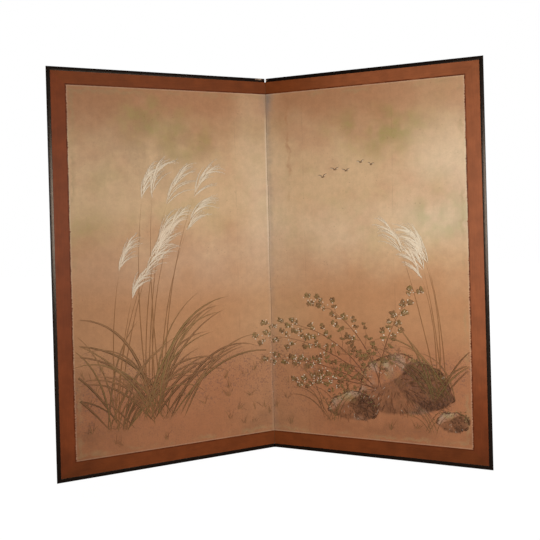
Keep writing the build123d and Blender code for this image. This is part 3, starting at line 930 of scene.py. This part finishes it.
def brush_tree():
    """Geometry nodes that draw a ridge of paint along each polyline, as wide as its half_width says."""
    tree = bpy.data.node_groups.new("Brush Stroke", "GeometryNodeTree")
    for name, kind in (("Geometry", "Geometry"), ("Ridge", "Float"), ("Pigment", "Material")):
        tree.interface.new_socket(name, in_out="INPUT", socket_type="NodeSocket" + kind)
    tree.interface.new_socket("Geometry", in_out="OUTPUT", socket_type="NodeSocketGeometry")
    put = partial(add, tree)
    given = put("NodeGroupInput").node.outputs
    line = put("GeometryNodeMeshToCurve", given["Geometry"])
    line = put("GeometryNodeSetCurveNormal", line, mode="Z_UP")
    width = put("GeometryNodeInputNamedAttribute", "half_width", out="Attribute", data_type="FLOAT")
    profile = put("GeometryNodeCurvePrimitiveCircle", Resolution=4, Radius=1.0)
    profile = put("GeometryNodeTransform", profile, Scale=put("CombineXYZ", 1.0, given["Ridge"], 1.0))
    ribbon = put("GeometryNodeCurveToMesh", line, profile, Scale=width, Fill_Caps=True)
    ribbon = put("GeometryNodeRealizeInstances", ribbon)
    put("NodeGroupOutput", put("GeometryNodeSetMaterial", ribbon, Material=given["Pigment"]))
    return tree


def stroke_runs(strokes, side, margin):
    """The stretches of the strokes that lie on one panel's sheet, fainter towards its outer edges."""
    low, high = painting_low[0] + margin, painting_high[0] - margin * 2.5
    for points, half, strength, pigment in strokes:
        x, v = points[:, 0] * side, points[:, 1]
        inside = (x > low) & (x < high) & (v > painting_low[2] + margin) & (v < painting_high[2] - margin)
        edges = np.flatnonzero(np.diff(np.concatenate([[0], inside.astype(int), [0]])))
        for first, last in zip(edges[::2], edges[1::2]):
            if last - first >= 2:
                part = slice(first, last)
                faint = smooth(0, 0.012, high - x[part])
                yield points[part], half[part], strength[part] * faint, pigment


def brushwork(side_name, strokes, tree, material, sizes):
    """Turns one panel's strokes into ridges of paint on its silk."""
    side = SIDES[side_name]
    runs = list(stroke_runs(strokes, side, 0.0015))
    points = np.concatenate([run[0] for run in runs])
    counts = [len(run[0]) for run in runs]
    starts = np.cumsum([0] + counts)
    edges = [(i, i + 1) for first, count in zip(starts, counts) for i in range(first, first + count - 1)]
    mesh = bpy.data.meshes.new("strokes")
    mesh.from_pydata(np.column_stack([points, np.zeros(len(points))]), edges, [])
    store(mesh, "half_width", np.concatenate([run[1] for run in runs]))
    store(mesh, "strength", np.concatenate([run[2] for run in runs]))
    store(mesh, "pigment", np.concatenate([np.tile((*run[3], 1.0), (len(run[0]), 1)) for run in runs]))
    lines = place("strokes", mesh)
    modifier = lines.modifiers.new("Brush", "NODES")
    modifier.node_group = tree
    given = {"Ridge": 0.1, "Pigment": material}
    for item in tree.interface.items_tree:
        if item.in_out == "INPUT" and item.name in given:
            modifier[item.identifier] = given[item.name]
    ribbons = bpy.data.meshes.new_from_object(lines.evaluated_get(bpy.context.evaluated_depsgraph_get()))
    bpy.data.objects.remove(lines)
    flat = np.zeros(len(ribbons.vertices) * 3, np.float32)
    ribbons.vertices.foreach_get("co", flat)
    flat = flat.reshape(-1, 3)
    u, v, rise = flat[:, 0], flat[:, 1], flat[:, 2]
    # The ribbon's top stands over the silk and its bottom under it, with its edges just below the face.
    level, sunk = 1e-7, 0.00001
    store(ribbons, "ridge", rise > level)
    surface = painting_low[1] + cockle(u, v, sizes)
    depth = surface + sunk - np.sign(np.where(np.abs(rise) > level, rise, 0)) * sizes.paint_ridge
    ribbons.vertices.foreach_set("co", from_panel(u * side, depth, v, side).astype(np.float32).ravel())
    add_plane(ribbons, np.column_stack([u, v]))
    store(ribbons, "wash", washes(u, v))
    ribbons.update()
    ribbons.name = side_name + "_brushwork"
    piece = place(ribbons.name, ribbons)
    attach(piece, side_name + "_panel")


def painting_sheet(side_name, material, sizes):
    """The painted silk: a wide sheet, thin where it lies on the borders, and its deckled outer edge."""
    side = SIDES[side_name]
    low, high = painting_low, painting_high
    # The sheet thins over a step, just inside its lap on the borders. The deckle is cut into the selvedge,
    # and its longest tips reach past the solid's edge.
    lap, step, selvedge, tips = sizes.overlap + 0.0008, 0.0003, 0.0045, high[0] + 0.0022

    def spaced(start, end):
        return np.linspace(start, end, max(2, int(round((end - start) / sizes.grid))))

    sill, head, jamb = low[2] + lap, high[2] - lap, high[0] - lap
    xs = np.concatenate([spaced(low[0], jamb), [jamb + step, high[0] - selvedge]])
    zs = np.concatenate([[low[2], sill - step], spaced(sill, head), [head + step, high[2]]])
    x, z = np.meshgrid(xs, zs, indexing="ij")
    front = low[1] + cockle(x * side, z, sizes)
    near = 1e-6
    inner = (x <= jamb + near) & (z >= sill - near) & (z <= head + near)
    points, faces = grid_sheet(side, x, z, front, np.where(inner, high[1] - PASTE_GAP, low[1] + sizes.rim))
    rows = np.arange(low[2], high[2], sizes.deckle_pitch / 8)
    scallop = 0.5 - 0.5 * np.cos(2 * np.pi * (rows / sizes.deckle_pitch + 1.6 * cloud(rows, rows, 0.03, 21)))
    ragged = np.clip(2.2 * cloud(rows, rows * 0, 0.020, 22) - 0.45, 0.08, 1.2)
    torn = cloud(rows, rows * 0, 0.007, 23)
    outline = tips - sizes.deckle_depth * (0.75 * scallop * ragged + 0.35 * torn)
    x = np.stack([np.full(len(rows), high[0] - selvedge), (outline + high[0] - selvedge) / 2, outline])
    z = np.tile(rows, (3, 1))
    edge_points, edge_faces = grid_sheet(side, x, z, low[1] + cockle(x * side, z, sizes), low[1] + sizes.rim)
    faces = np.concatenate([faces, edge_faces + len(points)])
    points = np.concatenate([points, edge_points])
    piece = build_object(side_name + "_painted_silk", side, points, faces, material)
    store(piece.data, "wash", washes(points[:, 0] * side, points[:, 2]))
    finish_piece(piece, side_name, [side_name + "_painting"])


def mitre(part):
    """Where the mitre of the top or bottom border starts, at the painting's corner, its end and its slope."""
    inner, outer = (painting_high, border_high) if part == "top" else (painting_low, border_low)
    corner, far = np.array([painting_high[0], inner[2]]), np.array([border_high[0], outer[2]])
    return corner, far, (far - corner)[1] / (far - corner)[0]


def border_strip(side_name, part, material, sizes):
    """A strip of border silk, mitred at the outer corners, that runs a little way under the painting."""
    side = SIDES[side_name]
    node = side_name + "_border_" + part
    across = np.linspace(0, 1, 13)
    if part == "outer":
        (corner, far, rise), (foot, _, fall) = mitre("top"), mitre("bottom")
        start, end = corner[0] - sizes.overlap, far[0]
        x = start + (end - start) * across
        top, bottom = corner[1] + (x - corner[0]) * rise, foot[1] + (x - corner[0]) * fall
        x, t = np.meshgrid(x, np.linspace(0, 1, 170), indexing="ij")
        z = bottom[:, None] + (top - bottom)[:, None] * t
        inner = x - corner[0]
    else:
        up = 1 if part == "top" else -1
        corner, far, slope = mitre(part)
        start, end = corner[1] - up * sizes.overlap, far[1]
        z = start + (end - start) * across
        reach = np.minimum(corner[0] + (z - corner[1]) / slope + sizes.mitre_lap, far[0])
        t, z = np.meshgrid(np.linspace(0, 1, 96), z, indexing="ij")
        x = painting_low[0] + (reach - painting_low[0]) * t
        x, z = x[:, ::up], z[:, ::up]
        inner = np.maximum((z - corner[1]) * up, 0)
    # The upright strip lies over the level ones at the mitres.
    under = 0.00006 if part == "outer" else 0.00012
    front = border_low[1] + under + 0.5 * cockle(x * side, z, sizes)
    points, faces = grid_sheet(side, x, z, front, border_high[1] - PASTE_GAP)
    piece = build_object(node + "_silk", side, points, faces, material)
    store(piece.data, "inner", np.tile(np.clip(inner, 0, 1).ravel(), 2))
    finish_piece(piece, side_name, [node])


def backing_sheet(side_name, material, sizes):
    """The paper on the panel's back, with slow waves between the lattice laths."""
    side = SIDES[side_name]
    low, high = back_low, back_high
    x, z = np.meshgrid(np.linspace(low[0], high[0], 78), np.linspace(low[2], high[2], 140), indexing="ij")
    outside = high[1] - cockle(x * side + 3, z, sizes)
    points, faces = grid_sheet(side, x, z, low[1] + PASTE_GAP, outside)
    piece = build_object(side_name + "_backing_paper", side, points, faces, material)
    finish_piece(piece, side_name, [side_name + "_back_sheet"])


def strip_heights(node):
    """Low and high end of each hinge strip of a node."""
    levels = sorted({round(v.co.z, 5) for v in frame["nodes"][node].data.vertices})
    return list(zip(levels[::2], levels[1::2]))


def hinge_bends(name, centre, radii, angles, heights, material):
    """The stretches where strips bend round a fold line, from one body's part of the strip to the other's.

    Angles are seen from above, clockwise from +Y at the fold line.
    """
    steps = 9
    turn = np.radians(np.linspace(*angles, steps))
    ring = [(radius * np.sin(turn), radius * np.cos(turn)) for radius in radii]
    across = np.concatenate([ring[0][0], ring[1][0][::-1]]) + centre[0]
    deep = np.concatenate([ring[0][1], ring[1][1][::-1]]) + centre[1]
    count = len(across)
    points, faces = [], []
    for low, high in heights:
        base = len(points)
        top = base + count
        points += [(x, y, z) for z in (low, high) for x, y in zip(across, deep)]
        for i in range(count):
            j = (i + 1) % count
            faces.append((base + i, base + j, top + j, top + i))
        for i in range(steps - 1):
            back = count - 1 - i
            faces.append((base + i, base + back, base + back - 1, base + i + 1))
            faces.append((top + i, top + i + 1, top + back - 1, top + back))
    mesh = bpy.data.meshes.new(name)
    mesh.from_pydata(points, [], faces)
    outward(mesh)
    mesh.materials.append(material)
    piece = place(name, mesh)
    # The ends of the bend's inner face.
    x, y = (np.array(c) + radii[0] * f(turn[[0, -1]]) for c, f in zip(centre, (np.sin, np.cos)))
    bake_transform(piece)


def outward(mesh):
    """Turns the faces outward."""
    shape = bmesh.new()
    shape.from_mesh(mesh)
    bmesh.ops.recalc_face_normals(shape, faces=shape.faces)
    shape.to_mesh(mesh)
    shape.free()


def give(material, *parts, owners=SIDES):
    """Gives a finish to CAD nodes, each an owner's part: by default the parts of both panels."""
    for name in (f"{owner}_{part}" for owner in owners for part in parts):
        mesh = frame["nodes"][name].data
        mesh.materials.clear()
        mesh.materials.append(material)


class BYOBU_OT_stage(bpy.types.Operator):
    """Make the floor, the lamps, the backdrop and the camera"""

    bl_idname = "byobu.stage"
    bl_label = "Studio Stage"

    def execute(self, context):
        scene = context.scene
        scene.view_settings.view_transform = "Standard"
        scene.world = studio_world()
        mesh = bpy.data.meshes.new("floor")
        half = 9.0
        corners = [(-half, -half, 0), (half, -half, 0), (half, half, 0), (-half, half, 0)]
        mesh.from_pydata(corners, [], [(0, 1, 2, 3)])
        mesh.materials.append(studio_floor())
        place("floor", mesh)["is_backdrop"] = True
        for name, spot, aim, power in (
            ("key", (0.62, -2.65, 1.08), (0.0, 0.0, 0.95), 65),
            ("rear", (-0.70, 2.90, 1.50), (0.0, 0.0, 0.85), 60),
        ):
            light = bpy.data.lights.new(name, "AREA")
            light.shape = "RECTANGLE"
            light.size, light.size_y, light.energy = 1.4, 1.05, power
            light.color = linear("#fffaf4")[:3]
            lamp = place(name, light)
            lamp.location = spot
            lamp.rotation_mode = "QUATERNION"
            lamp.rotation_quaternion = (Vector(aim) - Vector(spot)).to_track_quat("-Z", "Y")

        lens = bpy.data.cameras.new("camera")
        lens.sensor_width, lens.lens = 36.0, 39.01
        lens.shift_y = -0.0936
        lens.clip_start, lens.clip_end = 0.05, 60.0
        camera = place("camera", lens)
        camera.location = (-0.021, -2.55, 1.062)
        yaw, pitch, roll = (math.radians(a) for a in (-0.57, -0.23, -1.51))
        ahead = Vector((math.sin(-yaw), math.cos(yaw), 0)) * math.cos(pitch) + Vector((0, 0, math.sin(pitch)))
        camera.rotation_mode = "QUATERNION"
        camera.rotation_quaternion = ahead.to_track_quat("-Z", "Y") @ Quaternion((0, 0, 1), roll)
        scene.camera = camera
        return {"FINISHED"}


class BYOBU_OT_frame(bpy.types.Operator):
    """Lacquer the rails and stiles"""

    bl_idname = "byobu.frame"
    bl_label = "Lacquered Frame"

    def execute(self, context):
        lacquer = black_lacquer(context.scene.byobu_colours)
        give(lacquer, "frame_rail_top", "frame_rail_bottom", "frame_stile")
        return {"FINISHED"}


class BYOBU_OT_core(bpy.types.Operator):
    """Finish the cedar core, its keys and its bamboo pins"""

    bl_idname = "byobu.core"
    bl_label = "Cedar Core"

    def execute(self, context):
        colours = context.scene.byobu_colours
        upright = sawn_wood("Sawn Cedar Upright", colours.cedar, (1, 1, 0.05))
        level = sawn_wood("Sawn Cedar Level", colours.cedar, (0.05, 0.3, 1))
        bamboo = sawn_wood("Split Bamboo", colours.bamboo, (0.1, 0.5, 1))
        give(upright, "core_stile_fold", "core_stile_outer", "laths_upright")
        give(level, "core_rail_top", "core_rail_bottom", "laths_level", "corner_boards", "frame_keys")
        give(bamboo, "frame_pins")
        return {"FINISHED"}


class BYOBU_OT_papers(bpy.types.Operator):
    """Finish the underpaper, the edge paper and the hinge strips"""

    bl_idname = "byobu.papers"
    bl_label = "Papers and Hinge"

    def execute(self, context):
        colours = context.scene.byobu_colours
        under = mulberry_paper("Pasted Underpaper", colours.mulberry)
        # The hinge paper's dark brown is partly painted shade in the fold gap.
        hinge = mulberry_paper("Handled Hinge Paper", colours.hinge)
        faced = mulberry_paper("Silk Faced Hinge Paper", colours.faced, colours)
        give(under, "underpaper_front", "underpaper_back")
        give(hinge, "edge_paper", "hinge_flaps_back")
        give(faced, "hinge_flaps_front")
        give(hinge, "webs_even", "webs_odd", owners=["hinge"])
        # The strips' bends: in the front fold from each panel's front flaps to the webs, and in the back
        # fold from the even webs to the right panel's back flaps.
        flap_low, flap_high = panel_box("right_hinge_flaps_front")
        web_high = panel_box("hinge_webs_even")[1]
        turn = math.degrees(panel_turn)
        radius = (flap_low[1] + flap_high[1]) / 2
        radii = (flap_low[1], flap_high[1])
        reach = turn + math.degrees(math.atan2(flap_low[0], radius))
        end = turn - math.degrees(web_high[0] / radius)
        even, odd = strip_heights("hinge_webs_even"), strip_heights("hinge_webs_odd")
        front = (fold_line.x, fold_line.y)
        angles = (-reach, end)
        hinge_bends("hinge_bends_front_even", front, radii, angles, even, faced)
        angles = (reach, -end)
        hinge_bends("hinge_bends_front_odd", front, radii, angles, odd, faced)
        back = next(j for j in frame["joints"] if j["name"] == "back_fold")["pos_m"]
        angles = [180 + turn - math.degrees(x / radius) for x in (web_high[0], flap_low[0])]
        hinge_bends("hinge_bends_back_even", back[:2], radii, angles, even, hinge)
        return {"FINISHED"}


class BYOBU_OT_borders(bpy.types.Operator):
    """Make the silk borders"""

    bl_idname = "byobu.borders"
    bl_label = "Silk Borders"

    def execute(self, context):
        sizes, colours = context.scene.byobu_sizes, context.scene.byobu_colours
        upright = border_silk("Russet Silk Upright", colours.silk_upright, colours, True)
        level = border_silk("Russet Silk Level", colours.silk_level, colours, False)
        for side in SIDES:
            for part in ("outer", "top", "bottom"):
                border_strip(side, part, upright if part == "outer" else level, sizes)
        return {"FINISHED"}


class BYOBU_OT_paintings(bpy.types.Operator):
    """Make the painted silk sheets and their brushwork"""

    bl_idname = "byobu.paintings"
    bl_label = "Paintings"

    def execute(self, context):
        sizes, colours = context.scene.byobu_sizes, context.scene.byobu_colours
        ground = silk_ground(colours)
        silk = painted_silk(ground, "Painted Aged Silk", False)
        paint = painted_silk(ground, "Mineral Pigment on Silk", True)
        strokes = autumn_field(colours, sizes.seed)
        tree = brush_tree()
        for side in SIDES:
            painting_sheet(side, silk, sizes)
            brushwork(side, strokes, tree, paint, sizes)
        return {"FINISHED"}


class BYOBU_OT_backs(bpy.types.Operator):
    """Make the printed backing paper"""

    bl_idname = "byobu.backs"
    bl_label = "Backing Paper"

    def execute(self, context):
        material = backing_paper(context.scene.byobu_colours)
        for side in SIDES:
            backing_sheet(side, material, context.scene.byobu_sizes)
        return {"FINISHED"}


OPERATORS = (
    BYOBU_OT_stage,
    BYOBU_OT_frame,
    BYOBU_OT_core,
    BYOBU_OT_papers,
    BYOBU_OT_borders,
    BYOBU_OT_paintings,
    BYOBU_OT_backs,
)


class BYOBU_PT_sidebar(bpy.types.Panel):
    """Lists the screen's steps, sizes and colours"""

    bl_idname = "BYOBU_PT_sidebar"
    bl_label = "Byobu Screen"
    bl_space_type = "VIEW_3D"
    bl_region_type = "UI"
    bl_category = "Byobu"

    def draw(self, context):
        for operator in OPERATORS:
            self.layout.operator(operator.bl_idname)
        for group in (context.scene.byobu_sizes, context.scene.byobu_colours):
            column = self.layout.column(align=True)
            for name in group.__annotations__:
                column.prop(group, name)


CLASSES = (ByobuSizes, ByobuColours, *OPERATORS, BYOBU_PT_sidebar)


def register():
    for cls in CLASSES:
        bpy.utils.register_class(cls)
    bpy.types.Scene.byobu_sizes = PointerProperty(type=ByobuSizes)
    bpy.types.Scene.byobu_colours = PointerProperty(type=ByobuColours)


def unregister():
    del bpy.types.Scene.byobu_colours
    del bpy.types.Scene.byobu_sizes
    for cls in reversed(CLASSES):
        bpy.utils.unregister_class(cls)


def main():
    register()
    bpy.ops.byobu.stage()
    bpy.ops.byobu.frame()
    bpy.ops.byobu.core()
    bpy.ops.byobu.papers()
    bpy.ops.byobu.borders()
    bpy.ops.byobu.paintings()
    bpy.ops.byobu.backs()
    boxes = {"cad": cad_box, "visual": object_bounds()}
    {name: [list(corner) for corner in box] for name, box in boxes.items()}


if __name__ == "__main__":
    main()
